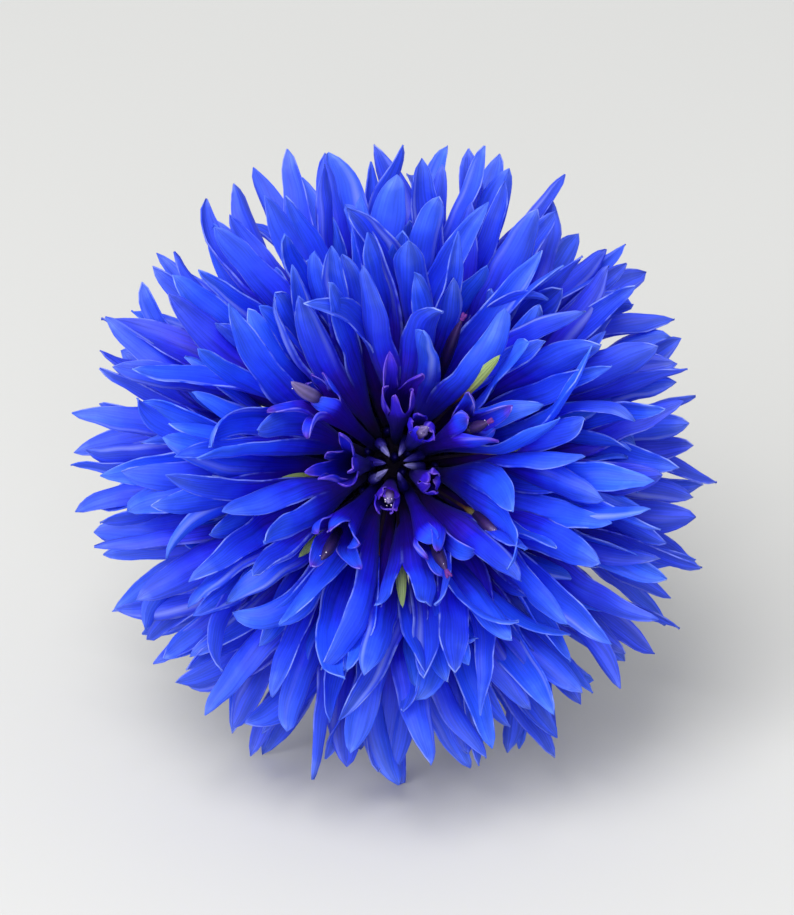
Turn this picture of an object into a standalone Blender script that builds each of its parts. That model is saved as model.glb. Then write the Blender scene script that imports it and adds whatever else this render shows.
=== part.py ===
"""A double cornflower head on a short cut stem, lying on a flat surface.

The head faces -Y and tips up. Its lower florets and the end of its stem rest on the surface, at Z = 0.
Florets are laid out in the flower's own frame: origin in the middle of the green cup's rim, +Z out of the
face, +Y towards the top of the head. The empty called lying turns and lifts that frame into the world.
"""

import math
from collections import namedtuple

import bmesh
import bpy
from mathutils import Vector

MM = 0.001

# How the flower lies
FACE_ELEVATION = math.radians(30)
HEAD_PLACE = Vector((-0.1, -19.2, 18.85)) * MM

# Driving dimensions of a floret and of the cup it grows from
FAN_CENTRE = Vector((0, 0, 2.0)) * MM
FLOOR_DEPTH = 2.6 * MM
ROOT_RADIUS = 0.17 * MM
TUBE_RADIUS = 0.40 * MM
TUBE_END = 0.48
PETAL_THICKNESS = 0.16 * MM

BUD_COUNT = 7
BUD_CLUMP_RADIUS = 0.95 * MM
BUD_CLUMP_HEIGHT = 8.2 * MM
BUD_GROOVE = 0.16

STEM_RADIUS = 1.05 * MM
CUP_LENGTH = 12.5 * MM
BRACT_THICKNESS = 0.26 * MM
BRACT_GAP = 0.32 * MM

# One ring of florets. root is the radius of the ring that its tubes grow from, throat the radius where the
# lobes part, spread the radius of the circle that their tips lie on, and split the share of the floret's
# length where they part. Each floret is its azimuth (clockwise from the top of the face), the tilt of its
# trumpet from the flower's axis, in degrees, and the reach of its tips from the fan's centre, in millimetres.
Whorl = namedtuple("Whorl", "name lobes root throat spread split turn florets")

WHORLS = (
    Whorl("outer_floret", 6, 3.55, 1.6, 2.8, 0.64, 0.0, (
        (15, 96, 20.7), (46, 95, 20.8), (75, 97, 20.9), (105, 96, 20.8), (136, 97, 20.6), (165, 97, 20.8),
        (195, 97, 20.8), (224, 96, 20.6), (255, 97, 20.7), (285, 97, 20.6), (315, 96, 20.4), (345, 96, 20.7),
    )),
    Whorl("second_floret", 6, 3.05, 1.5, 2.4, 0.64, 0.5, (
        (1, 81, 20.4), (31, 80, 20.2), (60, 81, 20.8), (91, 83, 20.6), (119, 83, 20.6), (150, 83, 20.4),
        (179, 83, 20.5), (210, 82, 20.4), (240, 82, 20.3), (272, 83, 20.0), (301, 81, 20.3), (331, 80, 20.4),
    )),
    Whorl("middle_floret", 5, 2.55, 1.4, 2.3, 0.62, 0.0, (
        (16, 66, 19.4), (48, 67, 20.0), (86, 66, 19.2), (121, 67, 19.4), (155, 67, 19.4),
        (186, 67, 19.3), (224, 66, 19.2), (268, 67, 19.3), (309, 66, 19.0), (347, 66, 19.4),
    )),
    Whorl("upper_floret", 5, 2.05, 1.4, 2.2, 0.62, 0.5, (
        (3, 50, 18.5), (30, 48, 17.8), (68, 49, 18.0), (103, 50, 17.2), (139, 53, 18.2),
        (170, 53, 18.5), (203, 53, 18.5), (246, 50, 17.5), (289, 52, 18.0), (329, 53, 19.2),
    )),
    Whorl("inner_floret", 5, 1.5, 0.9, 1.4, 0.72, 0.0, (
        (3, 23, 15.2), (64, 29, 15.4), (154, 31, 15.2), (220, 32, 15.4), (268, 20, 13.6), (311, 34, 15.6),
    )),
    Whorl("disc_floret", 5, 1.5, 0.7, 0.9, 0.76, 0.0, (
        (38, 16, 13.2), (118, 15, 12.6), (192, 14, 12.0),
    )),
)
WIDE_TILT = math.radians(55)

# The rows of bracts on the cup, outermost first: how many, where the row starts and parts, and where its
# tips end, as heights below (-) or above the rim, in millimetres.
BractRow = namedtuple("BractRow", "name count foot shoulder tip layers_inside")

BRACT_ROWS = (
    BractRow("bracts_row_1", 9, -11.8, -9.4, -6.8, 3),
    BractRow("bracts_row_2", 10, -10.8, -7.4, -4.4, 2),
    BractRow("bracts_row_3", 11, -9.8, -5.0, -1.8, 1),
    BractRow("bracts_row_4", 12, -8.8, -2.2, 0.3, 0),
)
FOOT_SPRING = 0.8

# The cup's own outline: height from the rim and radius, in millimetres, from the stem up to its floor, and
# then the line that the bracts follow above the floor.
CUP_OUTLINE = (
    (-12.5, 1.15), (-11.6, 1.5), (-10.4, 2.35), (-8.6, 3.2), (-6.4, 3.7), (-4.4, 3.95), (-2.6, 3.95),
)
RIM_OUTLINE = ((-1.2, 4.1), (0.6, 4.8))

BLUE = (0.05, 0.12, 0.85, 1)
VIOLET = (0.08, 0.02, 0.30, 1)
STEM_GREEN = (0.16, 0.24, 0.11, 1)
BRACT_GREEN = (0.20, 0.28, 0.10, 1)


def clear_scene():
    for thing in list(bpy.data.objects):
        bpy.data.objects.remove(thing)


def material(name, colour, roughness):
    made = bpy.data.materials.new(name)
    made.use_nodes = True
    shader = made.node_tree.nodes["Principled BSDF"]
    shader.inputs["Base Color"].default_value = colour
    shader.inputs["Roughness"].default_value = roughness
    shader.inputs["Metallic"].default_value = 0.0
    return made


def add_object(name, data, finish, parent=None):
    thing = bpy.data.objects.new(name, data)
    data.materials.append(finish)
    thing.parent = parent
    bpy.data.collections["cornflower"].objects.link(thing)
    return thing


def solidify(thing, thickness, offset=0.0):
    wall = thing.modifiers.new("wall", "SOLIDIFY")
    wall.thickness = thickness
    wall.offset = offset


def cubic(p0, p1, p2, p3, t):
    """The point and the direction at t on a Bezier curve."""
    u = 1 - t
    point = u**3 * p0 + 3 * u * u * t * p1 + 3 * u * t * t * p2 + t**3 * p3
    slope = u * u * (p1 - p0) + 2 * u * t * (p2 - p1) + t * t * (p3 - p2)
    return point, slope.normalized()


def smoothstep(t):
    t = min(max(t, 0.0), 1.0)
    return t * t * (3 - 2 * t)


def strips(name, count, rows, place):
    """A mesh of count strips side by side, two faces wide, with a row of points at each value in rows.
    place(strip, across, along) says where a point goes. Strips are joined wherever their edges meet."""
    bm = bmesh.new()
    for strip in range(count):
        made = bmesh.ops.create_grid(bm, x_segments=2, y_segments=len(rows) - 1, size=1.0)["verts"]
        for vertex in made:
            row = round((vertex.co.y + 1) / 2 * (len(rows) - 1))
            vertex.co = place(strip, vertex.co.x, rows[row])
    bmesh.ops.remove_doubles(bm, verts=bm.verts, dist=0.00001)
    bmesh.ops.dissolve_degenerate(bm, edges=bm.edges, dist=0.00001)
    bmesh.ops.recalc_face_normals(bm, faces=bm.faces)
    mesh = bpy.data.meshes.new(name)
    bm.to_mesh(mesh)
    bm.free()
    return mesh


def floret_mesh(name, whorl, azimuth, tilt, reach):
    """A trumpet: a slender curved tube that flares to a throat and parts into pointed lobes."""
    outward = Vector((math.sin(azimuth), math.cos(azimuth), 0))
    sideways = Vector((math.cos(azimuth), -math.sin(azimuth), 0))
    aim = outward * math.sin(tilt) + Vector((0, 0, math.cos(tilt)))
    root = outward * whorl.root * MM + Vector((0, 0, 0.3 * MM - FLOOR_DEPTH))
    tip = FAN_CENTRE + aim * reach
    span = (tip - root).length
    leave = root + Vector((0, 0, 1)) * span * 0.36
    arrive = tip - aim * span * 0.46
    throat, spread = whorl.throat * MM, whorl.spread * MM
    sector = 2 * math.pi / whorl.lobes

    def place(lobe, across, along):
        centre, forward = cubic(root, leave, arrive, tip, along)
        upward = sideways.cross(forward)
        if along <= whorl.split:
            tube = ROOT_RADIUS + (TUBE_RADIUS - ROOT_RADIUS) * min(1.0, along / TUBE_END)
            flare = max(0.0, (along - TUBE_END) / (whorl.split - TUBE_END))
            radius = tube + (throat - tube) * flare**1.5
            width = 1.0
        else:
            lobe_share = (along - whorl.split) / (1 - whorl.split)
            radius = throat + (spread - throat) * lobe_share
            width = 0.74 * (1 - lobe_share) / 0.5 if lobe_share > 0.5 else 1 - 0.52 * lobe_share
        turn = (lobe + whorl.turn + across * 0.5 * width) * sector
        return centre + radius * (math.cos(turn) * upward + math.sin(turn) * sideways)

    bends = 2 if tilt > WIDE_TILT else 1
    rows = [TUBE_END * bend / bends for bend in range(bends)]
    rows += [TUBE_END, whorl.split, (1 + whorl.split) / 2, 1.0]
    return strips(name, whorl.lobes, rows, place)


def make_florets(lying):
    blue = material("petal_blue", BLUE, 0.55)
    violet = material("throat_violet", VIOLET, 0.6)
    for whorl in WHORLS:
        finish = violet if whorl.name == "disc_floret" else blue
        for number, (azimuth, tilt, reach) in enumerate(whorl.florets, 1):
            name = f"{whorl.name}_{number:02d}"
            mesh = floret_mesh(name, whorl, math.radians(azimuth), math.radians(tilt), reach * MM)
            solidify(add_object(name, mesh, finish, lying), PETAL_THICKNESS)


def centre_buds(lying):
    """The unopened florets in the middle: closed buds pressed into one grooved clump."""
    bm = bmesh.new()
    bmesh.ops.create_uvsphere(bm, u_segments=3 * BUD_COUNT, v_segments=8, radius=1.0)
    foot = 0.3 * MM - FLOOR_DEPTH
    for vertex in bm.verts:
        angle = math.atan2(vertex.co.y, vertex.co.x)
        groove = 1 + BUD_GROOVE * math.cos(BUD_COUNT * angle)
        vertex.co.x *= BUD_CLUMP_RADIUS * groove
        vertex.co.y *= BUD_CLUMP_RADIUS * groove
        vertex.co.z = foot + (vertex.co.z + 1) / 2 * BUD_CLUMP_HEIGHT
    mesh = bpy.data.meshes.new("centre_buds")
    bm.to_mesh(mesh)
    bm.free()
    add_object("centre_buds", mesh, bpy.data.materials["throat_violet"], lying)


def cup_radius(height):
    """The cup's radius at a height, between the points of its outline."""
    outline = CUP_OUTLINE + RIM_OUTLINE
    for (low, r_low), (high, r_high) in zip(outline, outline[1:]):
        if height <= high:
            return r_low + (r_high - r_low) * max(0.0, (height - low) / (high - low))
    return outline[-1][1]


def make_bracts(lying):
    finish = material("bract_green", BRACT_GREEN, 0.6)
    step = BRACT_THICKNESS / MM + BRACT_GAP / MM
    for row in BRACT_ROWS:
        sector = 2 * math.pi / row.count
        full = BRACT_GAP / MM + BRACT_THICKNESS / MM / 2 + 0.1 + step * row.layers_inside

        def place(bract, across, along):
            height = row.foot + (row.tip - row.foot) * along
            spring = smoothstep((height - row.foot) / FOOT_SPRING)
            start = BRACT_GAP / MM + BRACT_THICKNESS / MM
            radius = cup_radius(height) + start + (full - start) * spring
            part = (height - row.shoulder) / (row.tip - row.shoulder)
            width = 1.0 if part <= 0 else max(0.0, 1 - part) ** 0.6
            turn = (bract + 0.5 * (row.layers_inside % 2) + across * 0.5 * width) * sector
            return Vector((math.sin(turn) * radius, math.cos(turn) * radius, height)) * MM

        shoulder = (row.shoulder - row.foot) / (row.tip - row.foot)
        rows = (0.0, FOOT_SPRING / (row.tip - row.foot), shoulder, (1 + shoulder) / 2, 1.0)
        blades = strips(row.name, row.count, rows, place)
        solidify(add_object(row.name, blades, finish, lying), BRACT_THICKNESS)


def stem_route():
    """Points of the stem from its cut end to the cup's floor, each with a radius, in the world."""
    axis = Vector((0, -math.cos(FACE_ELEVATION), math.sin(FACE_ELEVATION)))
    neck = HEAD_PLACE - axis * CUP_LENGTH
    cut_end = Vector((-3.0 * MM, neck.y + 47 * MM, STEM_RADIUS))
    leave = neck - axis * 16 * MM
    arrive = cut_end - Vector((0.1, 1, 0)).normalized() * 24 * MM
    arrive.z = cut_end.z
    points = []
    for step in range(12):
        point, _ = cubic(cut_end, arrive, leave, neck, step / 12)
        points.append((point, STEM_RADIUS))
    for height, radius in CUP_OUTLINE:
        points.append((HEAD_PLACE + axis * height * MM, radius * MM))
    return points


def make_stem():
    """The stem, with its swollen end that the florets stand on."""
    curve = bpy.data.curves.new("stem", "CURVE")
    curve.dimensions = "3D"
    curve.bevel_depth = 1.0
    curve.bevel_resolution = 3
    curve.use_fill_caps = True
    route = stem_route()
    spline = curve.splines.new("POLY")
    spline.points.add(len(route) - 1)
    for point, (place, radius) in zip(spline.points, route):
        point.co = (*place, 1)
        point.radius = radius
    return add_object("stem", curve, material("stem_green", STEM_GREEN, 0.65))


def build():
    clear_scene()
    bpy.context.scene.collection.children.link(bpy.data.collections.new("cornflower"))
    lying = bpy.data.objects.new("lying", None)
    lying.location = HEAD_PLACE
    lying.rotation_euler = (math.pi / 2 - FACE_ELEVATION, 0, 0)
    bpy.data.collections["cornflower"].objects.link(lying)
    make_florets(lying)
    centre_buds(lying)
    make_bracts(lying)
    make_stem()


build()
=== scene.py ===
"""A double cornflower on a short cut stem. It lies on a pale floor and is seen face on, down its own axis.

The flower is laid out in millimetres in its own frame, as in the solid model: origin in the middle of the
green cup's rim, +Z out of the face, +Y towards the top of the head. HEAD turns that frame into the world.
"""
import math
import random
from collections import namedtuple

import bmesh
import bpy
from mathutils import Matrix, Vector, noise


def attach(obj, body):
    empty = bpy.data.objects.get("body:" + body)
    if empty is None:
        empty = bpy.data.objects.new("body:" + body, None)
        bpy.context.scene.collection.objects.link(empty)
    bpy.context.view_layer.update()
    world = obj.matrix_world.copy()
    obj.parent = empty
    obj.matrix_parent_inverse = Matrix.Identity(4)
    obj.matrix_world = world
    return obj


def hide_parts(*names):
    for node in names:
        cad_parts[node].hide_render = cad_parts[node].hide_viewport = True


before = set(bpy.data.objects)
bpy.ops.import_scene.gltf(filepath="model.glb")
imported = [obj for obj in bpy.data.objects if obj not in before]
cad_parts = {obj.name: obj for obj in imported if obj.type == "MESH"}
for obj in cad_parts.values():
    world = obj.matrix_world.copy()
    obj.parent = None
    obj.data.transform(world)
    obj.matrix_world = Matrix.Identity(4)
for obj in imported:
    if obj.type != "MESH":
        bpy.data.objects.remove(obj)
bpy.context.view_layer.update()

MM = 0.001

# How the flower lies, the same as in the solid model
FACE_ELEVATION = math.radians(30)
HEAD_PLACE = Vector((-0.1, -19.2, 18.85))
HEAD = (
    Matrix.Scale(MM, 4)
    @ Matrix.Translation(HEAD_PLACE)
    @ Matrix.Rotation(math.pi / 2 - FACE_ELEVATION, 4, "X")
)
AXIS = Vector((0, -math.cos(FACE_ELEVATION), math.sin(FACE_ELEVATION)))

# Where floret tubes start and what they fan out from, in millimetres
FAN_CENTRE = Vector((0, 0, 2.0))
ROOT_HEIGHT = -2.3
ROOT_RADIUS = 0.17
TUBE_RADIUS = 0.40
FLARE_SHARE = 0.24
ARCH = 13
PETAL_THICKNESS = 0.085
RESTING_HEIGHT = 0.04 * MM

# The mesh of one petal strip, from the tube's root to the lobe's tip
ACROSS = 10
TUBE_ROWS = 12
LOBE_ROWS = 18
ROWS = TUBE_ROWS + LOBE_ROWS

# Whorl: lobes, where along a floret they part, radius of the ring of roots and of the throat, length and
# half-width of a lobe, how far its lobes bend out (degrees),
# how far they turn to face along the axis (a share),
# how much they differ, and its florets as (azimuth clockwise from the top, tilt from the flower's axis,
# reach) in degrees and millimetres.
Whorl = namedtuple("Whorl", "name material lobes split root throat length width bend turn wild florets")

WHORLS = (
    Whorl("outer_floret", "outer", 6, 0.59, 3.55, 1.7, 9.8, 1.2, 4, 0.62, 0.9, (
        (15, 96, 21.2), (46, 95, 20.8), (75, 97, 20.7), (105, 96, 20.6), (136, 97, 20.6), (165, 97, 20.8),
        (195, 97, 20.8), (224, 96, 20.8), (255, 97, 21.1), (285, 97, 21.0), (315, 96, 20.7), (345, 96, 21.2),
    )),
    Whorl("second_floret", "outer", 6, 0.59, 3.05, 1.65, 9.6, 1.18, 4, 0.55, 1.0, (
        (1, 81, 21.4), (31, 80, 21.0), (60, 81, 20.6), (91, 83, 20.3), (119, 83, 20.6), (150, 83, 21.5),
        (179, 83, 22.4), (210, 82, 21.5), (240, 82, 20.7), (272, 83, 20.6), (301, 81, 20.7), (331, 80, 21.2),
    )),
    Whorl("between_floret", "petal", 6, 0.62, 2.9, 1.4, 6.4, 1.05, 4, 0.5, 1.1, (
        (14, 74, 17.2), (44, 74, 17.4), (72, 75, 17.6), (104, 75, 17.2), (134, 75, 17.4), (165, 76, 17.4),
        (196, 76, 17.4), (227, 75, 17.2), (254, 75, 17.0), (284, 74, 17.0), (318, 74, 17.2), (345, 74, 17.4),
    )),
    Whorl("middle_floret", "petal", 6, 0.56, 2.55, 1.5, 9.6, 1.12, 2, 0.5, 1.2, (
        (16, 66, 19.4), (48, 67, 20.0), (86, 66, 19.2), (121, 67, 19.4), (155, 67, 19.4),
        (186, 67, 19.3), (224, 66, 19.2), (268, 67, 19.3), (309, 66, 19.0), (347, 66, 19.4),
    )),
    Whorl("upper_floret", "petal", 5, 0.54, 2.05, 1.4, 10.4, 1.08, -2, 0.35, 1.4, (
        (3, 50, 18.5), (30, 48, 17.8), (68, 49, 18.0), (103, 50, 17.2), (139, 53, 18.2),
        (170, 53, 18.5), (203, 53, 18.5), (246, 50, 17.5), (289, 52, 18.0), (329, 53, 19.2),
    )),
    Whorl("inner_floret", "inner", 5, 0.78, 1.5, 0.95, 3.4, 0.66, 0, 0, 2.0, (
        (3, 23, 15.2), (64, 29, 15.4), (154, 31, 15.2), (220, 32, 15.4), (268, 20, 13.6), (311, 34, 15.6),
    )),
    Whorl("disc_floret", "disc", 5, 0.86, 1.5, 0.78, 1.5, 0.5, -20, 0, 1.8, (
        (38, 16, 13.2), (118, 15, 12.6), (192, 14, 12.0),
    )),
)
# Two small florets next to the middle have the dark petals of the disc florets.
DARK_FLORETS = ("inner_floret_01", "inner_floret_05")

# A fine ripple that runs through every lobe: its height in millimetres, and how closely it is spaced
RIPPLE = 0.16
RIPPLE_SCALE = 0.55
FLORET_SEED = 7


def srgb(hex_colour):
    """A colour given as sRGB hex, as the linear values that a shader takes."""
    parts = [int(hex_colour[i : i + 2], 16) / 255 for i in (1, 3, 5)]
    return (*(p / 12.92 if p <= 0.04045 else ((p + 0.055) / 1.055) ** 2.4 for p in parts), 1.0)


def add_node(tree, kind, inputs=None, stops=None, **settings):
    """Adds a node with its settings. An input given as a socket is linked, and any other value is set."""
    node = tree.nodes.new(kind)
    for name, value in settings.items():
        setattr(node, name, value)
    for name, value in (inputs or {}).items():
        if isinstance(value, bpy.types.NodeSocket):
            tree.links.new(value, node.inputs[name])
        else:
            node.inputs[name].default_value = value
    if stops:
        ramp = node.color_ramp
        while len(ramp.elements) < len(stops):
            ramp.elements.new(1.0)
        for element, (position, colour) in zip(ramp.elements, stops):
            element.position = position
            element.color = srgb(colour)
    return node


def new_material(name):
    material = bpy.data.materials.new(name)
    material.use_nodes = True
    material.node_tree.nodes.clear()
    return material, material.node_tree


def finish_material(tree, shader):
    add_node(tree, "ShaderNodeOutputMaterial", {"Surface": shader.outputs[0]})


# ---------------------------------------------------------------------------------------------- materials


def petal_material(name, stops, highlight_colour, glow_share=0.5, gloss=0.32, velvet=0.12):
    """Fresh petal: thin, moist tissue with a velvety skin. Colour runs from the tube's root to the lobe's
    tip, fine veins run along each lobe, rims and rolled folds carry a painted highlight, and light from
    behind glows through."""
    material, tree = new_material(name)
    uv = add_node(tree, "ShaderNodeUVMap", uv_map="surface")
    place = add_node(tree, "ShaderNodeSeparateXYZ", {"Vector": uv.outputs["UV"]})
    across, along = place.outputs["X"], place.outputs["Y"]
    tone = add_node(tree, "ShaderNodeAttribute", attribute_name="tone").outputs["Fac"]

    mottle = add_node(
        tree, "ShaderNodeTexNoise",
        {"Vector": add_node(tree, "ShaderNodeTexCoord").outputs["Object"], "Scale": 650.0, "Detail": 3.0},
    )
    shifted = add_node(
        tree, "ShaderNodeMath", {0: mottle.outputs["Fac"], 1: 0.26, 2: along}, operation="MULTIPLY_ADD"
    )
    moved = add_node(tree, "ShaderNodeMath", {0: shifted.outputs[0], 1: 0.13}, operation="SUBTRACT")
    # The ramp darkens towards the tube's root: partly the tube's own violet, partly painted shade deep in
    # the head.
    base = add_node(tree, "ShaderNodeValToRGB", {"Fac": moved.outputs[0]}, stops=stops)

    # Veins: seven main ones to a lobe, drawn about 0.08 mm wide so that they show.
    vein_wave = add_node(tree, "ShaderNodeMath", {0: across, 1: 7 * math.tau}, operation="MULTIPLY")
    vein = add_node(tree, "ShaderNodeMath", {0: vein_wave.outputs[0]}, operation="COSINE")
    vein_line = add_node(
        tree, "ShaderNodeMapRange",
        {"Value": vein.outputs[0], "From Min": 0.2, "From Max": 1.0, "To Min": 0.0, "To Max": 1.0},
    )
    # Fibres between the veins, stretched along the lobe: bundles about 0.12 mm wide across its 2 mm.
    stretched = add_node(
        tree, "ShaderNodeMapping", {"Vector": uv.outputs["UV"], "Scale": (17.0, 2.6, 1.0)}
    )
    fibre = add_node(
        tree, "ShaderNodeTexNoise", {"Vector": stretched.outputs[0], "Scale": 1.0, "Detail": 2.0}
    )
    streaked = add_node(
        tree, "ShaderNodeMapRange",
        {"Value": fibre.outputs["Fac"], "From Min": 0.3, "From Max": 0.7, "To Min": 0.74, "To Max": 1.2},
    )
    darker = add_node(
        tree, "ShaderNodeMath", {0: vein_line.outputs[0], 1: -0.035, 2: streaked.outputs[0]},
        operation="MULTIPLY_ADD",
    )
    toned = add_node(
        tree, "ShaderNodeMath", {0: tone, 1: 0.09, 2: darker.outputs[0]}, operation="MULTIPLY_ADD"
    )
    hue = add_node(tree, "ShaderNodeMath", {0: tone, 1: -0.006, 2: 0.5}, operation="MULTIPLY_ADD")
    veined = add_node(
        tree, "ShaderNodeHueSaturation",
        {"Hue": hue.outputs[0], "Value": toned.outputs[0], "Color": base.outputs["Color"]},
    )

    # Painted highlight on the rims, in patches: within about 0.1 mm of the lobe's edge.
    off_middle = add_node(tree, "ShaderNodeMath", {0: across, 1: 0.5}, operation="SUBTRACT")
    to_side = add_node(tree, "ShaderNodeMath", {0: off_middle.outputs[0]}, operation="ABSOLUTE")
    rim = add_node(
        tree, "ShaderNodeMapRange", {"Value": to_side.outputs[0], "From Min": 0.43, "From Max": 0.5}
    )
    highlight_patches = add_node(
        tree, "ShaderNodeMapRange",
        {"Value": mottle.outputs["Fac"], "From Min": 0.42, "From Max": 0.6, "To Max": 0.65},
    )
    on_lobe = add_node(tree, "ShaderNodeMapRange", {"Value": along, "From Min": 0.42, "From Max": 0.6})
    patched_highlight = add_node(
        tree, "ShaderNodeMath", {0: rim.outputs[0], 1: highlight_patches.outputs[0]}, operation="MULTIPLY"
    )
    rim_highlight = add_node(
        tree, "ShaderNodeMath", {0: patched_highlight.outputs[0], 1: on_lobe.outputs[0]}, operation="MULTIPLY"
    )
    # crease is the strength of a painted highlight along rolled rims; pale adds it to the rim highlight.
    crease = add_node(tree, "ShaderNodeAttribute", attribute_name="crease").outputs["Fac"]
    pale = add_node(
        tree, "ShaderNodeMath", {0: crease, 1: 0.95, 2: rim_highlight.outputs[0]}, operation="MULTIPLY_ADD",
        use_clamp=True,
    )
    # Mixes the painted highlight colour into the petal's colour.
    colour = add_node(
        tree, "ShaderNodeMix",
        {"Factor": pale.outputs[0], "A": veined.outputs["Color"], "B": srgb(highlight_colour)},
        data_type="RGBA",
    )

    relief = add_node(
        tree, "ShaderNodeMath", {0: vein_line.outputs[0], 1: 0.7, 2: fibre.outputs["Fac"]},
        operation="MULTIPLY_ADD",
    )
    bump = add_node(
        tree, "ShaderNodeBump", {"Height": relief.outputs[0], "Strength": 0.3, "Distance": 0.03 * MM}
    )
    skin = add_node(
        tree, "ShaderNodeBsdfPrincipled",
        {
            "Base Color": colour.outputs["Result"], "Roughness": 0.42, "Specular IOR Level": gloss,
            "Sheen Weight": velvet, "Sheen Roughness": 0.45, "Sheen Tint": srgb("#8FA8FF"),
            "Normal": bump.outputs[0],
        },
    )
    glow = add_node(
        tree, "ShaderNodeBsdfTranslucent", {"Color": colour.outputs["Result"], "Normal": bump.outputs[0]}
    )
    finish_material(
        tree, add_node(tree, "ShaderNodeMixShader", {0: glow_share, 1: skin.outputs[0], 2: glow.outputs[0]})
    )
    return material


def plant_material(name, stops, scale, roughness, relief=0.05):
    """Plant tissue: noise at the given grains per metre moves along a row of tones and lifts the skin."""
    material, tree = new_material(name)
    place = add_node(tree, "ShaderNodeTexCoord").outputs["Object"]
    grain = add_node(tree, "ShaderNodeTexNoise", {"Vector": place, "Scale": scale, "Detail": 4.0})
    colour = add_node(tree, "ShaderNodeValToRGB", {"Fac": grain.outputs["Fac"]}, stops=stops)
    bump = add_node(
        tree, "ShaderNodeBump", {"Height": grain.outputs["Fac"], "Strength": 0.5, "Distance": relief * MM}
    )
    shader = add_node(
        tree, "ShaderNodeBsdfPrincipled",
        {"Base Color": colour.outputs["Color"], "Roughness": roughness, "Normal": bump.outputs[0]},
    )
    finish_material(tree, shader)
    return material


DOWN = "#B9C2B0"
MARGIN = "#33201E"


def along_material(
    name, stops, rib_count, rib_depth, roughness, down_share=0.0, tone_shift=0.0, margin_share=0.0,
    glow_share=0.0, gloss=0.4,
):
    """Plant tissue whose colour runs along the surface's own length, with ribs across it, a pale, cobwebby
    down over it and, on a bract, a dark papery margin round its tip."""
    material, tree = new_material(name)
    uv = add_node(tree, "ShaderNodeUVMap", uv_map="surface")
    place = add_node(tree, "ShaderNodeSeparateXYZ", {"Vector": uv.outputs["UV"]})
    where = add_node(tree, "ShaderNodeTexCoord").outputs["Object"]
    mottle = add_node(tree, "ShaderNodeTexNoise", {"Vector": where, "Scale": 900.0, "Detail": 4.0})
    shifted = add_node(
        tree, "ShaderNodeMath", {0: mottle.outputs["Fac"], 1: 0.2, 2: place.outputs["Y"]},
        operation="MULTIPLY_ADD",
    )
    centred = add_node(tree, "ShaderNodeMath", {0: shifted.outputs[0], 1: 0.1}, operation="SUBTRACT")
    tone = add_node(tree, "ShaderNodeAttribute", attribute_name="tone").outputs["Fac"]
    moved = add_node(
        tree, "ShaderNodeMath", {0: tone, 1: tone_shift, 2: centred.outputs[0]}, operation="MULTIPLY_ADD"
    )
    base = add_node(tree, "ShaderNodeValToRGB", {"Fac": moved.outputs[0]}, stops=stops)
    turns = add_node(
        tree, "ShaderNodeMath", {0: place.outputs["X"], 1: rib_count * math.tau}, operation="MULTIPLY"
    )
    rib = add_node(tree, "ShaderNodeMath", {0: turns.outputs[0]}, operation="COSINE")
    value = add_node(
        tree, "ShaderNodeMath", {0: rib.outputs[0], 1: rib_depth, 2: 1.0}, operation="MULTIPLY_ADD"
    )
    ribbed = add_node(
        tree, "ShaderNodeHueSaturation", {"Value": value.outputs[0], "Color": base.outputs["Color"]}
    )
    web = add_node(
        tree, "ShaderNodeTexNoise",
        {"Vector": where, "Scale": 2200.0, "Detail": 3.0, "Distortion": 1.5},
    )
    down = add_node(
        tree, "ShaderNodeMapRange",
        {"Value": web.outputs["Fac"], "From Min": 0.5, "From Max": 0.68, "To Max": down_share},
    )
    downy = add_node(
        tree, "ShaderNodeMix",
        {"Factor": down.outputs[0], "A": ribbed.outputs["Color"], "B": srgb(DOWN)},
        data_type="RGBA",
    )
    off_middle = add_node(tree, "ShaderNodeMath", {0: place.outputs["X"], 1: 0.5}, operation="SUBTRACT")
    to_side = add_node(tree, "ShaderNodeMath", {0: off_middle.outputs[0]}, operation="ABSOLUTE")
    edge = add_node(
        tree, "ShaderNodeMapRange",
        {"Value": to_side.outputs[0], "From Min": 0.3, "From Max": 0.44, "To Max": margin_share},
    )
    near_tip = add_node(
        tree, "ShaderNodeMapRange", {"Value": moved.outputs[0], "From Min": 0.4, "From Max": 0.6}
    )
    margin = add_node(
        tree, "ShaderNodeMath", {0: edge.outputs[0], 1: near_tip.outputs[0]}, operation="MULTIPLY"
    )
    colour = add_node(
        tree, "ShaderNodeMix",
        {"Factor": margin.outputs[0], "A": downy.outputs["Result"], "B": srgb(MARGIN)},
        data_type="RGBA",
    )
    relief = add_node(
        tree, "ShaderNodeMath", {0: rib.outputs[0], 1: 0.5, 2: web.outputs["Fac"]}, operation="MULTIPLY_ADD"
    )
    bump = add_node(
        tree, "ShaderNodeBump", {"Height": relief.outputs[0], "Strength": 0.6, "Distance": 0.06 * MM}
    )
    skin = add_node(
        tree, "ShaderNodeBsdfPrincipled",
        {
            "Base Color": colour.outputs["Result"], "Roughness": roughness, "Specular IOR Level": gloss,
            "Normal": bump.outputs[0],
        },
    )
    if not glow_share:
        finish_material(tree, skin)
        return material
    glow = add_node(tree, "ShaderNodeBsdfTranslucent", {"Color": colour.outputs["Result"]})
    finish_material(
        tree, add_node(tree, "ShaderNodeMixShader", {0: glow_share, 1: skin.outputs[0], 2: glow.outputs[0]})
    )
    return material


# ------------------------------------------------------------------------------------------ small helpers


def cubic(p0, p1, p2, p3, t):
    """The point and the direction at t on a Bezier curve."""
    u = 1 - t
    point = u**3 * p0 + 3 * u * u * t * p1 + 3 * u * t * t * p2 + t**3 * p3
    slope = u * u * (p1 - p0) + 2 * u * t * (p2 - p1) + t * t * (p3 - p2)
    return point, slope.normalized()


def smoothstep(t):
    t = min(max(t, 0.0), 1.0)
    return t * t * (3 - 2 * t)


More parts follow.
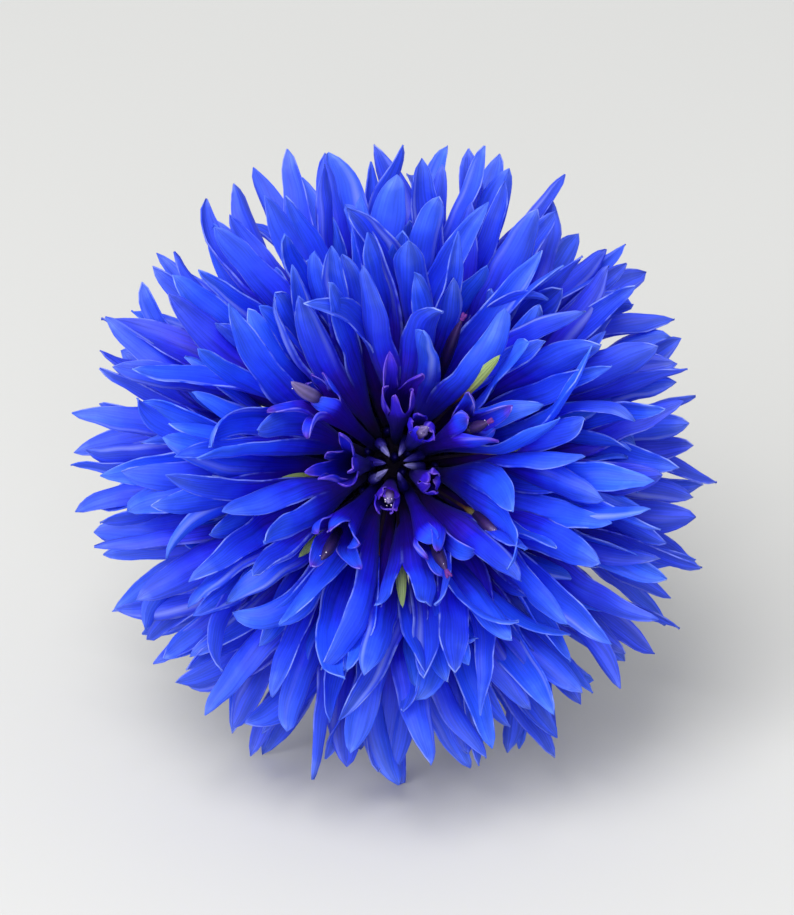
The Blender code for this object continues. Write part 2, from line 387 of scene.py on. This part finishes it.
def outward_at(azimuth):
    """The direction out from the flower's axis at an azimuth in degrees, clockwise from the top."""
    turn = math.radians(azimuth)
    return Vector((math.sin(turn), math.cos(turn), 0))


def aim_at(azimuth, tilt):
    """The direction at an azimuth and a tilt from the flower's axis, both in degrees."""
    lean = math.radians(tilt)
    return outward_at(azimuth) * math.sin(lean) + Vector((0, 0, math.cos(lean)))


def new_bmesh():
    bm = bmesh.new()
    bm.loops.layers.uv.new("surface")
    bm.verts.layers.float.new("tone")
    # crease holds the strength of a painted highlight along rolled rims.
    bm.verts.layers.float.new("crease")
    return bm


def add_sheet(bm, columns, rows, place, tone=0.0, material_index=0, crease=None):
    """A grid of faces. place(across, share) says where its points go, and crease(across, share) how strong
    the painted highlight is there: across runs from -1 to 1 and share from 0 to 1."""
    tones = bm.verts.layers.float["tone"]
    highlight_strengths = bm.verts.layers.float["crease"]
    made = bmesh.ops.create_grid(bm, x_segments=columns, y_segments=rows, size=1.0, calc_uvs=True)["verts"]
    for vertex in made:
        across, share = vertex.co.x, (vertex.co.y + 1) / 2
        vertex[tones] = tone
        vertex[highlight_strengths] = crease(across, share) if crease else 0.0
        vertex.co = place(across, share)
    for face in {face for vertex in made for face in vertex.link_faces}:
        face.material_index = material_index


def add_tube(bm, sides, rows, route, radius, tone=0.0, material_index=0):
    """A tube along route(share), which gives a point and a direction. Its radius(angle, share) may fall to
    nothing at an end, which closes it."""

    def place(across, share):
        centre, forward = route(share)
        side = forward.cross(Vector((0.03, 0.02, 1)) if abs(forward.z) < 0.9 else Vector((1, 0.05, 0)))
        side.normalize()
        angle = across * math.pi
        reach = radius(angle, share)
        return centre + reach * (math.cos(angle) * forward.cross(side) + math.sin(angle) * side)

    add_sheet(bm, sides, rows, place, tone, material_index)


def finish_piece(name, bm, materials, nodes=(), matrix=HEAD, wall=None):
    """Makes a bmesh into a piece of the object, in metres in the world, that stands for the named nodes."""
    bmesh.ops.remove_doubles(bm, verts=bm.verts, dist=0.0005)
    bmesh.ops.recalc_face_normals(bm, faces=bm.faces)
    mesh = bpy.data.meshes.new(name)
    bm.to_mesh(mesh)
    bm.free()
    mesh.transform(matrix)
    for vertex in mesh.vertices:
        vertex.co.z = max(vertex.co.z, RESTING_HEIGHT)
    for polygon in mesh.polygons:
        polygon.use_smooth = True
    for material in materials:
        mesh.materials.append(material)
    piece = bpy.data.objects.new(name, mesh)
    bpy.context.scene.collection.objects.link(piece)
    if wall:
        thick = piece.modifiers.new("thickness", "SOLIDIFY")
        thick.thickness = wall * MM
        thick.offset = 0
    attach(piece, "root")
    if nodes:
        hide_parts(*nodes)
    return piece


# ------------------------------------------------------------------------------------------------ florets


def floret_route(root_ring, azimuth, tilt, reach):
    """The curve from a floret's root to its tips: it leaves along the flower's axis and arches outward."""
    root = outward_at(azimuth) * root_ring + Vector((0, 0, ROOT_HEIGHT))
    tip = FAN_CENTRE + aim_at(azimuth, tilt) * reach
    span = (tip - root).length
    leave = root + Vector((0, 0, 1)) * span * 0.36
    arrive = tip - aim_at(azimuth, tilt + ARCH * math.sin(math.radians(tilt))) * span * 0.46
    return (lambda share: cubic(root, leave, arrive, tip, share)), span


def lobe_habits(rng, whorl, floret_bend, turn):
    """How one lobe grew. turn is its place round the throat: 0 nearest the viewer, pi furthest away."""
    wild = whorl.wild
    facing = math.cos(turn)
    to_flat = math.asin(math.sin(turn)) * math.copysign(1, facing)
    curl = rng.gauss(0, 13) * wild
    if rng.random() < 0.18:
        curl += rng.choice((-1, 1)) * rng.uniform(35, 75) * wild
    return {
        "length": whorl.length * (1 + rng.uniform(-0.16, 0.12) * wild) * (1 - 0.06 * facing),
        "bend": math.radians(floret_bend + rng.gauss(0, 8) * wild - 9 * max(0.0, facing)),
        "curl": math.radians(curl),
        "sway": rng.gauss(0, 0.11) * wild,
        "twist": whorl.turn * to_flat + math.radians(rng.gauss(0, 14) * wild),
        "cup": rng.choice((0.1, 0.2, 0.3, 0.45, 0.8)) + rng.uniform(0, 0.2),
        "fold": rng.uniform(-0.15, 0.38),
        "roll": rng.choice((0.0, rng.uniform(0.12, 0.45))),
        "roll_side": rng.choice((-1, 1)),
        "width": rng.uniform(0.74, 1.1),
        "point": rng.uniform(3.0, 6.0),
        "wave": rng.uniform(0, math.tau),
    }


def lobe_run(habits, root_slope):
    """The lobe's middle line: for each row, how far it is out from the throat, how far on, and its slope."""
    step = habits["length"] / LOBE_ROWS
    out = ahead = 0.0
    run = [(0.0, 0.0, root_slope)]
    for row in range(1, LOBE_ROWS + 1):
        share = (row - 0.5) / LOBE_ROWS
        slope = root_slope * (1 - 0.35 * share) + habits["bend"] * smoothstep(share * 1.4)
        slope += habits["curl"] * share**3
        out += math.sin(slope) * step
        ahead += math.cos(slope) * step
        run.append((out, ahead, slope))
    return run


def add_floret(bm, whorl, azimuth, tilt, reach, rng):
    """A trumpet: a slender curved tube flares to a throat and parts into pointed, keeled lobes."""
    route, span = floret_route(whorl.root, azimuth, tilt, reach)
    side = outward_at(azimuth + 90)
    throat_at, throat_way = route(whorl.split)
    throat_up = side.cross(throat_way)
    lobes = whorl.lobes + rng.choice((0, 0, 0, 1))
    throat = whorl.throat * rng.uniform(0.88, 1.1)
    squash = rng.uniform(0.78, 0.98)
    sector = math.tau / lobes
    roll = rng.uniform(-0.5, 0.5)
    flare_start = whorl.split - FLARE_SHARE
    root_slope = math.atan(1.5 * (throat - TUBE_RADIUS) / ((whorl.split - flare_start) * span))
    floret_bend = whorl.bend + rng.gauss(0, 4)
    floret_tone = rng.uniform(-0.6, 0.6)

    for lobe in range(lobes):
        turn = (lobe + roll) * sector
        habits = lobe_habits(rng, whorl, floret_bend, turn)
        run = lobe_run(habits, root_slope)
        radial = math.cos(turn) * throat_up * squash + math.sin(turn) * side
        around = -math.sin(turn) * throat_up + math.cos(turn) * side

        def place(across, share):
            row = round(share * ROWS)
            if row <= TUBE_ROWS:
                along = whorl.split * row / TUBE_ROWS
                centre, forward = route(along)
                tube = ROOT_RADIUS + (TUBE_RADIUS - ROOT_RADIUS) * min(1.0, along / flare_start)
                flare = max(0.0, (along - flare_start) / FLARE_SHARE)
                radius = tube + (throat - tube) * flare**1.5
                angle = turn + across * sector / 2
                groove = 1 - 0.05 * flare * across**4
                upward = math.cos(angle) * side.cross(forward) * (1 - (1 - squash) * flare)
                return centre + radius * groove * (upward + math.sin(angle) * side)
            out, ahead, slope = run[row - TUBE_ROWS]
            share = (row - TUBE_ROWS) / LOBE_ROWS
            reach_across = math.sin(across * math.pi / 2) * share + across * (1 - share)
            normal = math.cos(slope) * radial - math.sin(slope) * throat_way
            shared = (throat + out) * math.sin(sector / 2)
            belly = whorl.width * habits["width"]
            half = shared + (belly - shared) * smoothstep(share / 0.5)
            half *= max(0.0, 1 - share ** habits["point"]) ** 0.75
            x = reach_across * half
            curve = (1 - share) / (2 * throat) + share * habits["cup"]
            drop = curve * x * x - habits["fold"] * smoothstep(share * 2.2) * (half - abs(x)) * 0.6
            edge = max(0.0, reach_across * habits["roll_side"] - 0.55) / 0.45
            drop += habits["roll"] * edge * edge * smoothstep(share * 2.5) * (half / belly)
            ruffle = 0.09 * math.sin(habits["wave"] + share * 8 + across * 2) * across * across
            drop += ruffle * smoothstep(share * 3)
            twist = habits["twist"] * share
            across_way = around * math.cos(twist) + normal * math.sin(twist)
            down_way = normal * math.cos(twist) - around * math.sin(twist)
            point = throat_at + radial * (throat + out) + throat_way * ahead
            point += around * habits["sway"] * habits["length"] * share**2
            point += across_way * x * (1 - 0.25 * edge * habits["roll"]) - down_way * drop
            # No seed covers this ripple: unless noise.seed_set is called, its offset is new in each run.
            return point + noise.noise_vector(point * RIPPLE_SCALE) * RIPPLE * smoothstep(share * 2)

        def crease(across, share):
            """A painted highlight, strongest along the roll of a rolled rim, from a third of the way up the
            lobe.
            """
            on_lobe = smoothstep((share * ROWS - TUBE_ROWS) / LOBE_ROWS * 2.2 - 0.5)
            ridge = math.exp(-(((across * habits["roll_side"] - 0.64) / 0.1) ** 2))
            return ridge * on_lobe * min(1.0, habits["roll"] / 0.3) * (1 - share**8)

        tone = floret_tone + rng.uniform(-0.6, 0.6)
        add_sheet(bm, ACROSS, ROWS, place, tone, crease=crease)


def make_florets(petals):
    """One piece for each floret. The solid model has no node for those of the ring called between."""
    rng = random.Random(FLORET_SEED)
    for whorl in WHORLS:
        for number, (azimuth, tilt, reach) in enumerate(whorl.florets, 1):
            bm = new_bmesh()
            add_floret(bm, whorl, azimuth, tilt, reach, rng)
            node = f"{whorl.name}_{number:02d}"
            skin = petals["disc" if node in DARK_FLORETS else whorl.material]
            nodes = [node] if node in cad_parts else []
            finish_piece(f"petals_{node}", bm, [skin], nodes, wall=PETAL_THICKNESS)


# --------------------------------------------------------------------------- what stands inside the florets

# Closed buds in the middle: azimuth, length of the part that leans in over the centre, and how pale
BUDS = (
    (26, 1.5, 0.1), (71, 1.7, -0.5), (96, 1.6, 0.7), (159, 1.4, -0.3), (234, 1.7, 1.0), (275, 1.6, -0.6),
    (324, 1.6, 0.4),
)
BUD_TIP_RING = 0.55
BUD_TIP_HEIGHT = 8.0
YOUNG_BUDS = 64
YOUNG_BUD_RING = 4.4


def make_buds(bud_skin):
    """A ring of closed buds that lean in over the middle, and younger, darker ones packed below them."""
    bm = new_bmesh()

    def radius(angle, share):
        spindle = 0.17 + 0.22 * smoothstep(share * 2)
        return spindle * max(0.0, 1 - share**4) ** 0.6 * (1 + 0.08 * math.cos(5 * angle))

    for azimuth, lean, paleness in BUDS:
        out = outward_at(azimuth)
        root = out * 0.9 + Vector((0, 0, ROOT_HEIGHT))
        tip = out * BUD_TIP_RING + Vector((0, 0, BUD_TIP_HEIGHT))
        shoulder = out * (BUD_TIP_RING + lean * 1.25) + Vector((0, 0, BUD_TIP_HEIGHT - lean * 0.9))
        low = root + Vector((0, 0, 4.0)) + out * 0.4

        def route(share, points=(root, low, shoulder, tip)):
            return cubic(*points, share)

        add_tube(bm, 15, 22, route, radius, tone=paleness)
    for number in range(YOUNG_BUDS):
        # A sunflower spiral spaces them evenly over the receptacle.
        ring = YOUNG_BUD_RING * math.sqrt((number + 0.5) / YOUNG_BUDS)
        out = outward_at(number * 137.5)
        root = out * ring + Vector((0, 0, ROOT_HEIGHT))
        tip = out * ring * 1.1 + Vector((0, 0, 4.2 - 0.8 * ring))

        def young_route(share, root=root, tip=tip):
            return root.lerp(tip, share), (tip - root).normalized()

        add_tube(bm, 10, 12, young_route, radius, tone=-3.0)
    finish_piece("centre_buds_closed", bm, [bud_skin], ["centre_buds"])


# Anther tubes: azimuth, tilt, where they start and end (distance from the fan's centre), how withered, and
# how much of a stigma and how many pollen grains show.
ANTHERS = (
    (38, 15, 9.0, 12.2, 0.6, 0.0, 3), (64, 27, 10.5, 14.4, -0.4, 0.7, 9),
    (154, 31, 10.5, 14.6, -0.6, 1.0, 2), (220, 32, 10.5, 14.5, -0.8, 0.0, 5),
    (311, 33, 11.0, 15.4, 1.6, 0.0, 3), (192, 13, 8.5, 11.2, 0.5, 0.0, 8),
    (27, 45, 8.4, 14.4, -0.6, 0.8, 0), (122, 40, 9.5, 12.4, 0.2, 0.0, 4),
)


def make_anthers(anther_skin, stigma_skin, pollen_skin):
    rng = random.Random(23)
    anthers, pollen = new_bmesh(), new_bmesh()
    for azimuth, tilt, start, end, withered, stigma, grains in ANTHERS:
        foot = FAN_CENTRE + aim_at(azimuth, tilt) * start
        head = FAN_CENTRE + aim_at(azimuth + rng.uniform(-3, 3), tilt) * end
        bow = (head - foot).length * 0.35
        leave = foot + aim_at(azimuth, tilt - 12) * bow
        arrive = head - aim_at(azimuth, tilt + 18) * bow

        def route(share, points=(foot, leave, arrive, head)):
            return cubic(*points, share)

        def sheath(angle, share):
            swell = 0.27 + 0.1 * smoothstep(share * 2) - 0.16 * smoothstep((share - 0.6) / 0.4)
            crease = 1 + 0.1 * math.cos(5 * angle) - 0.12 * max(0.0, withered) * math.cos(2 * angle)
            return swell * crease * max(0.0, 1 - share**14)

        add_tube(anthers, 20, 18, route, sheath, tone=withered)
        _, forward = route(1.0)
        for lean in (-1, 1) if stigma else ():
            way = (forward + lean * 0.3 * outward_at(azimuth + 90)).normalized()

            def stigma_route(share, way=way, head=head):
                return head + way * (0.7 * stigma * share - 0.1), way

            def stigma_radius(angle, share):
                return 0.14 * max(0.0, 1 - share**3) ** 0.5

            add_tube(anthers, 8, 6, stigma_route, stigma_radius, material_index=1)
        for _ in range(grains):
            centre, way = route(rng.uniform(0.75, 1.0))
            off = Vector([rng.gauss(0, 1) for _ in range(3)]).normalized() * rng.uniform(0.2, 0.36)
            bmesh.ops.create_icosphere(
                pollen, subdivisions=1, radius=rng.uniform(0.025, 0.055),
                matrix=Matrix.Translation(centre + off),
            )
    finish_piece("anther_tubes", anthers, [anther_skin, stigma_skin])
    finish_piece("pollen_grains", pollen, [pollen_skin])


# Pale green scales that show between the florets: azimuth, tilt, nearest and furthest radius, and width
SCALES = (
    (44, 37, 5.4, 9.6, 0.38), (82, 51, 5.4, 8.8, 0.30), (122, 52, 5.2, 8.2, 0.30),
    (150, 54, 4.8, 7.2, 0.24), (177, 47, 4.8, 9.2, 0.34), (192, 49, 4.8, 9.4, 0.26),
    (226, 49, 5.6, 8.6, 0.30), (262, 50, 5.4, 7.6, 0.28), (280, 50, 5.4, 7.6, 0.32),
)
SCALE_FOOT_RING = 1.2
SCALE_FOOT_WIDTH = 0.08


def make_scales(scale_skin):
    """Slender blades, each on a thin foot that comes up from the receptacle."""
    bm = new_bmesh()
    for azimuth, tilt, near, far, width in SCALES:
        lean = math.radians(tilt)
        side = outward_at(azimuth + 90)

        def place(across, share):
            ring = SCALE_FOOT_RING + (far - SCALE_FOOT_RING) * share
            blade = max(0.0, (ring - near) / (far - near))
            middle = FAN_CENTRE + aim_at(azimuth, tilt) * ring / math.sin(lean)
            half = max(SCALE_FOOT_WIDTH * (1 - blade), width * math.sin(math.pi * blade) ** 0.7)
            lift = aim_at(azimuth, tilt - 90) * (0.25 * math.sin(blade * 3) - 0.35 * across * across * half)
            return middle + side * across * half + lift

        add_sheet(bm, 6, 36, place)
    finish_piece("scales_between_florets", bm, [scale_skin], wall=0.12)


# ------------------------------------------------------------------------------------------- cup and stem

# The cup's outline, as in the solid model: height from the rim and radius, in millimetres
CUP_OUTLINE = (
    (-12.5, 1.15), (-11.6, 1.5), (-10.4, 2.35), (-8.6, 3.2), (-6.4, 3.7), (-4.4, 3.95), (-2.6, 3.95),
    (-1.2, 4.1), (0.6, 4.8),
)
STEM_RADIUS = 1.05
CUP_LENGTH = 12.5
BRACT_THICKNESS = 0.2

# Rows of bracts, outermost first: node, how many, heights of foot and tip, rows that lie inside it, and how
# far the tips stand off.
BractRow = namedtuple("BractRow", "name count foot tip inside spread")

BRACT_ROWS = (
    BractRow("bracts_row_1", 9, -11.9, -6.4, 3, 0.15),
    BractRow("bracts_row_2", 10, -10.9, -4.0, 2, 0.15),
    BractRow("bracts_row_3", 11, -9.8, -1.4, 1, 0.2),
    BractRow("bracts_row_4", 12, -8.8, 1.4, 0, 2.8),
)


def cup_radius(height):
    """The cup's radius at a height, on a smooth line through the points of its outline."""
    for (low, r_low), (high, r_high) in zip(CUP_OUTLINE, CUP_OUTLINE[1:]):
        if height <= high:
            return r_low + (r_high - r_low) * max(0.0, (height - low) / (high - low))
    return CUP_OUTLINE[-1][1]


def make_bracts(bract_skin, fringe_skin):
    """Overlapping scales, each an ovate, ribbed blade with a dark fringe of fine teeth round its tip."""
    rng = random.Random(41)
    for row in BRACT_ROWS:
        bm = new_bmesh()
        sector = 360 / row.count
        for number in range(row.count):
            azimuth = (number + 0.5 * (row.inside % 2)) * sector + rng.uniform(-2, 2)
            length = (row.tip - row.foot) * rng.uniform(0.96, 1.04)
            half_angle = sector * 0.74

            def blade(across, share, azimuth=azimuth, length=length, half_angle=half_angle):
                height = row.foot + length * share
                stand = (0.12 + 0.36 * row.inside) * smoothstep(share * 4) + row.spread * share**3
                ring = cup_radius(height) + stand + 0.28 * (1 - across * across) * smoothstep(share * 4)
                outline = max(0.0, 1 - share**2.6) ** 0.75
                turn = azimuth + across * half_angle * outline
                return outward_at(turn) * ring + Vector((0, 0, height))

            tone = rng.uniform(-1, 1)
            add_sheet(bm, 8, 14, blade, tone)
            for side in (-1, 1):
                for tooth in range(9):
                    at = 0.62 + 0.36 * tooth / 8
                    foot, ahead = blade(side * 0.97, at), blade(side * 0.97, at + 0.03)
                    off = (blade(side, at) - blade(0, at)).normalized()
                    way = (off + 1.2 * (ahead - foot).normalized()).normalized()
                    reach = 0.42 * rng.uniform(0.7, 1.2)

                    def fringe(across, share, foot=foot, ahead=ahead, way=way, reach=reach):
                        width = (ahead - foot) * 0.5 * across * (1 - share) * 0.7
                        return (foot + ahead) / 2 + width + way * reach * share

                    add_sheet(bm, 1, 2, fringe, tone, material_index=1)
        finish_piece(
            f"scales_{row.name}", bm, [bract_skin, fringe_skin], [row.name],
            wall=BRACT_THICKNESS * 0.6,
        )


def stem_curve():
    """The stem's line in the world, from its cut end to the cup, as in the solid model."""
    neck = HEAD_PLACE - AXIS * CUP_LENGTH
    cut_end = Vector((-3.0, neck.y + 47, STEM_RADIUS))
    leave = neck - AXIS * 16
    arrive = cut_end - Vector((0.1, 1, 0)).normalized() * 24
    arrive.z = cut_end.z
    return lambda share: cubic(cut_end, arrive, leave, neck, share)


def make_stem(stem_skin, cut_skin, receptacle_shade_skin):
    """A ribbed stem that swells into the floor of the cup, painted dark for the shade deep in the head, with
    pale pith at its cut end.
    """
    bm = new_bmesh()
    line = stem_curve()

    def rib(angle, share):
        return STEM_RADIUS * (0.97 + 0.07 * math.cos(6 * angle) - 0.02 * share)

    def cup_route(share):
        return HEAD_PLACE + AXIS * (-CUP_LENGTH + (CUP_LENGTH - 2.6) * share), AXIS

    def cup_ring(angle, share):
        return cup_radius(-CUP_LENGTH + (CUP_LENGTH - 2.6) * share)

    def cut_route(share):
        end, forward = line(0.0)
        return end - forward * 0.05 * math.sin(share * math.pi), forward

    add_tube(bm, 36, 90, line, rib)
    add_tube(bm, 36, 24, cup_route, cup_ring)
    add_tube(bm, 36, 4, cut_route, lambda angle, share: rib(angle, 0) * share, material_index=1)
    # The disc that closes the cup is its floor, painted near-black violet as shade.
    top, _ = cup_route(1.0)
    add_tube(
        bm, 36, 6, lambda share: (top + AXIS * 0.3 * share, AXIS),
        lambda angle, share: cup_ring(angle, 1.0) * (1 - share), material_index=2,
    )
    finish_piece(
        "stem_ribbed", bm, [stem_skin, cut_skin, receptacle_shade_skin], ["stem"],
        matrix=Matrix.Scale(MM, 4),
    )


# ------------------------------------------------------------------------------------------ stage and view


def make_stage():
    bm = bmesh.new()
    bmesh.ops.create_grid(bm, x_segments=1, y_segments=1, size=3.0)
    mesh = bpy.data.meshes.new("floor")
    bm.to_mesh(mesh)
    bm.free()
    floor = bpy.data.objects.new("floor", mesh)
    bpy.context.scene.collection.objects.link(floor)
    material, tree = new_material("matte_pale_board")
    finish_material(
        tree,
        add_node(tree, "ShaderNodeBsdfPrincipled", {"Base Color": srgb("#B9B8B4"), "Roughness": 0.85}),
    )
    mesh.materials.append(material)


def add_light(name, at, aim, size, power, colour):
    """A square studio softbox."""
    light = bpy.data.lights.new(name, "AREA")
    light.shape = "SQUARE"
    light.size = size
    light.energy = power
    light.color = srgb(colour)[:3]
    lamp = bpy.data.objects.new(name, light)
    lamp.location = at
    lamp.rotation_euler = (Vector(aim) - Vector(at)).to_track_quat("-Z", "Y").to_euler()
    bpy.context.scene.collection.objects.link(lamp)


def make_lights():
    world = bpy.data.worlds.new("studio")
    world.use_nodes = True
    world.node_tree.nodes["Background"].inputs["Color"].default_value = srgb("#F2F5FA")
    world.node_tree.nodes["Background"].inputs["Strength"].default_value = 0.8
    bpy.context.scene.world = world
    head = HEAD_PLACE * MM
    add_light("overhead", (-0.12, -0.25, 0.55), head, 0.35, 3.3, "#FFFFFF")
    add_light("on_axis", head + AXIS * 0.75, head, 0.3, 1.6, "#FFFFFF")
    add_light("front_left", (-0.45, -0.45, 0.3), head, 0.3, 2.0, "#F4F7FF")


def make_camera():
    """A long lens on the flower's own axis, far enough away to keep its depth flat."""
    distance, lens = 0.40, 244.0
    camera = bpy.data.cameras.new("camera")
    camera.lens = lens
    camera.sensor_width = 36.0
    camera.clip_start = 0.01
    camera.clip_end = 10.0
    viewer = bpy.data.objects.new("camera", camera)
    up = Vector((0, math.sin(FACE_ELEVATION), math.cos(FACE_ELEVATION)))
    target = (HEAD_PLACE + AXIS * 6.0 + up * 0.42 + Vector((0.13, 0, 0))) * MM
    viewer.location = target + AXIS * distance
    viewer.rotation_euler = (math.pi / 2 - FACE_ELEVATION, 0, 0)
    bpy.context.scene.collection.objects.link(viewer)
    bpy.context.scene.camera = viewer
    bpy.context.scene.view_settings.view_transform = "Standard"


# Petal colours from the tube's root (0) to the lobe's tip (1): darker at the root and paler at the tip,
# partly the florets' own colour, partly painted shade deep in the head and painted highlight on the tips.
OUTER_STOPS = (
    (0.0, "#1E0930"), (0.18, "#310C70"), (0.34, "#3214B8"), (0.46, "#301ED8"), (0.62, "#3340EA"),
    (0.8, "#4060F2"), (0.94, "#4D6EF4"), (1.0, "#6482F6"),
)
PETAL_STOPS = (
    (0.0, "#3A0640"), (0.18, "#3E0A74"), (0.31, "#3410AE"), (0.43, "#2A12D0"), (0.56, "#2A2AE4"),
    (0.71, "#2D52F4"), (0.88, "#3A68F7"), (1.0, "#5A84FA"),
)
INNER_STOPS = (
    (0.0, "#1C0748"), (0.22, "#22087C"), (0.36, "#280AA6"), (0.48, "#2A10C0"), (0.62, "#2826DA"),
    (0.8, "#2848EE"), (0.92, "#3446E0"), (1.0, "#5636C4"),
)
DISC_STOPS = (
    (0.0, "#12044A"), (0.3, "#1A0670"), (0.42, "#220892"), (0.52, "#280CA8"), (0.7, "#2A1AC0"),
    (0.88, "#3320C4"), (1.0, "#5A3AC0"),
)
BUD_STOPS = ((0.0, "#0A0344"), (0.5, "#0E0558"), (0.78, "#160A6C"), (0.93, "#3A3488"), (1.0, "#7470AC"))
ANTHER_STOPS = ((0.0, "#0E0424"), (0.5, "#1A083C"), (0.8, "#2E1650"), (1.0, "#66588A"))
SCALE_STOPS = (
    (0.0, "#120628"), (0.5, "#1E0A2C"), (0.58, "#6E4438"), (0.66, "#A8925C"), (0.74, "#B0C274"),
    (1.0, "#A6C078"),
)
BRACT_STOPS = ((0.0, "#5E7040"), (0.5, "#74864C"), (0.8, "#8A9A60"), (0.93, "#5A4436"), (1.0, "#3C2A26"))
STEM_STOPS = ((0.0, "#6F8058"), (0.5, "#788A60"), (1.0, "#7F9064"))

make_stage()
make_lights()
make_camera()
# The third colour of each petal material is the colour of its painted highlight.
make_florets({
    "outer": petal_material("cornflower_petal_outer", OUTER_STOPS, "#A9B8FF"),
    "petal": petal_material("cornflower_petal", PETAL_STOPS, "#B4C8FF"),
    "inner": petal_material(
        "cornflower_petal_inner", INNER_STOPS, "#9A8CF0", glow_share=0.3, gloss=0.16, velvet=0.02
    ),
    "disc": petal_material(
        "cornflower_petal_disc", DISC_STOPS, "#8A6CE0", glow_share=0.2, gloss=0.14, velvet=0.02
    ),
})
make_buds(along_material("closed_bud_skin", BUD_STOPS, 5, 0.2, 0.5, tone_shift=0.12, gloss=0.2))
make_anthers(
    along_material("anther_skin", ANTHER_STOPS, 5, 0.25, 0.45, tone_shift=0.3),
    plant_material("stigma_velvet", ((0.3, "#3C0A66"), (0.7, "#661478")), 9000.0, 0.8),
    plant_material("pollen", ((0.3, "#B4ACC4"), (0.7, "#DCD8E4")), 9000.0, 0.8),
)
make_scales(along_material("pale_scale", SCALE_STOPS, 4, 0.08, 0.6, glow_share=0.35))
make_bracts(
    along_material("bract_skin", BRACT_STOPS, 3, 0.1, 0.6, down_share=0.3, margin_share=0.85),
    plant_material("bract_fringe", ((0.3, "#2E201E"), (0.7, "#8D7A66")), 2500.0, 0.7),
)
make_stem(
    along_material("stem_skin", STEM_STOPS, 6, 0.1, 0.7, down_share=0.4),
    plant_material("cut_pith", ((0.3, "#A9B58A"), (0.7, "#CAD3AE")), 3500.0, 0.8),
    # Near-black violet: painted shade on the cup's floor, deep in the head.
    plant_material("receptacle", ((0.3, "#12082A"), (0.7, "#2A1450")), 3000.0, 0.8),
)
